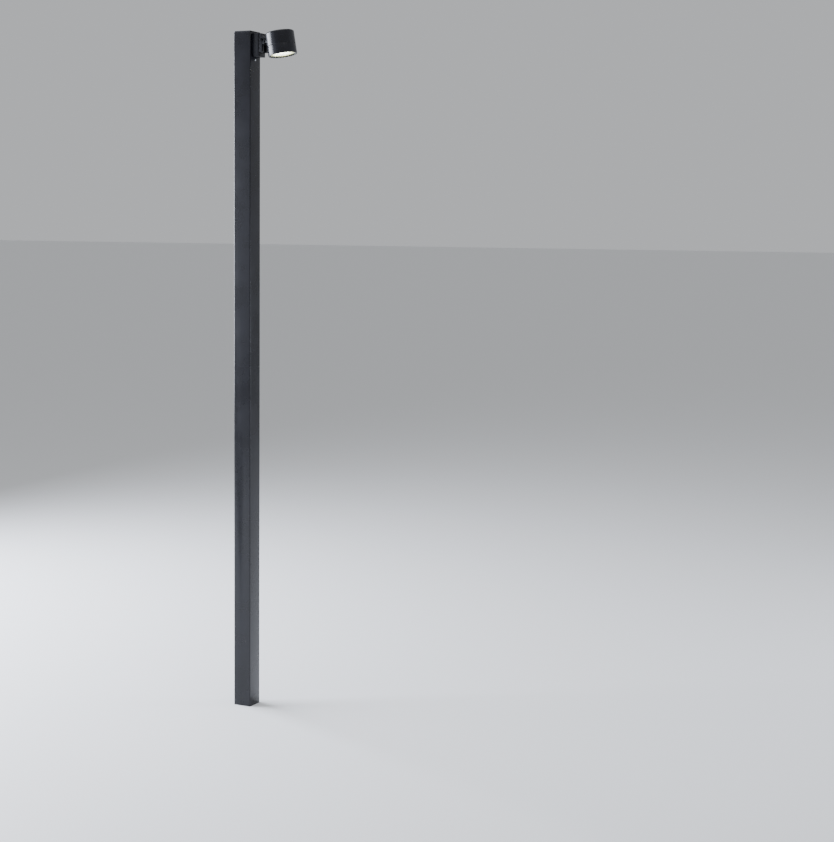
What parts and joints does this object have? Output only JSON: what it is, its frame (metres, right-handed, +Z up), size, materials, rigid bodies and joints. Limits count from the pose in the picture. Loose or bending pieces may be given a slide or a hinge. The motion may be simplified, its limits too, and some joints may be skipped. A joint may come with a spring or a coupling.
{
  "type": "street lamp post",
  "caption": "Slim square street lamp post with a small round spotlight that swivels and tilts on a box bracket near the top.",
  "frame": {"origin": "middle of the foot's underside, on the ground", "axes": "+Z up along the post, +X from the post towards the lamp head, service door on the -X side"},
  "size_m": [0.24, 0.104, 2.502],
  "materials": {
    "graphite_powder_coat": "satin graphite powder coat with a very fine texture",
    "black_epdm": "matt moulded rubber",
    "galvanised_steel": "zinc-plated sheet and plate",
    "stainless_steel": "machined stainless steel",
    "blackened_steel": "satin black coated steel",
    "grey_polycarbonate": "moulded light grey",
    "ivory_polyamide": "moulded ivory",
    "black_polyamide": "moulded black",
    "black_pvc_cable": "extruded cable sheath",
    "brass": "machined",
    "tan_ptfe": "filled friction disc",
    "bare_aluminium": "bare extruded and spun aluminium",
    "white_circuit_board": "white solder mask",
    "yellow_phosphor": "silicone over phosphor",
    "lit_opal_acrylic": "opal acrylic, lit from behind",
    "clear_glass": "clear toughened glass"
  },
  "bodies": {
    "post": {"anchor_foot": "galvanised_steel", "base_seal": "black_epdm", "foot_screws": "graphite_powder_coat", "post_tube": "graphite_powder_coat", "cap_gasket": "black_epdm", "top_cap": "graphite_powder_coat", "m5_screws": "stainless_steel", "door_frame": "graphite_powder_coat", "gear_tray": "galvanised_steel", "tray_brackets": "galvanised_steel", "m4_screws": "stainless_steel", "terminal_box": "grey_polycarbonate", "terminal_box_lid": "grey_polycarbonate", "terminal_block": "ivory_polyamide", "fuse_carrier": "black_polyamide", "cable_glands": "black_polyamide", "power_cables": "black_pvc_cable", "led_driver": "grey_polycarbonate", "driver_straps": "galvanised_steel", "earth_stud": "brass", "riser_clamp": "grey_polycarbonate", "riser_grommet": "black_epdm", "rivet_nuts": "stainless_steel", "box_gasket": "black_epdm", "box_back_plate": "galvanised_steel", "box_plate_screws": "stainless_steel", "mounting_box": "graphite_powder_coat", "box_screws": "stainless_steel", "box_connector": "ivory_polyamide"},
    "door": {"service_door": "graphite_powder_coat", "door_gasket": "black_epdm", "door_screws": "stainless_steel"},
    "arm": {"knuckle_block": "graphite_powder_coat", "swivel_stud": "stainless_steel", "swivel_nut": "stainless_steel", "friction_washers": "tan_ptfe", "swivel_seal": "black_epdm", "stop_pin": "stainless_steel", "stud_lead": "black_pvc_cable", "tilt_bolt": "blackened_steel", "tilt_nut": "blackened_steel"},
    "head": {"head_lug": "graphite_powder_coat", "lug_screws": "stainless_steel", "head_housing": "graphite_powder_coat", "heat_sink": "bare_aluminium", "sink_screws": "stainless_steel", "led_board": "white_circuit_board", "cob_led": "yellow_phosphor", "led_holder": "ivory_polyamide", "reflector": "bare_aluminium", "retaining_ring": "black_polyamide", "diffuser": "lit_opal_acrylic", "glass_gaskets": "black_epdm", "front_glass": "clear_glass", "front_ring": "graphite_powder_coat", "front_oring": "black_epdm", "head_gland": "black_polyamide", "head_lead": "black_pvc_cable", "vent_plug": "black_polyamide"}
  },
  "joints": [
    {"name": "arm_swivel", "type": "hinge", "parent": "post", "child": "arm", "pos_m": [0.0625, 0, 2.4565], "axis": [1, 0, 0], "range_deg": [-90, 90]},
    {"name": "head_tilt", "type": "hinge", "parent": "arm", "child": "head", "pos_m": [0.0773, 0, 2.467], "axis": [0, -1, 0], "range_deg": [-24, 24]},
    {"name": "door_out", "type": "slide", "parent": "post", "child": "door", "axis": [-1, 0, 0], "range_m": [0, 0.12]}
  ]
}
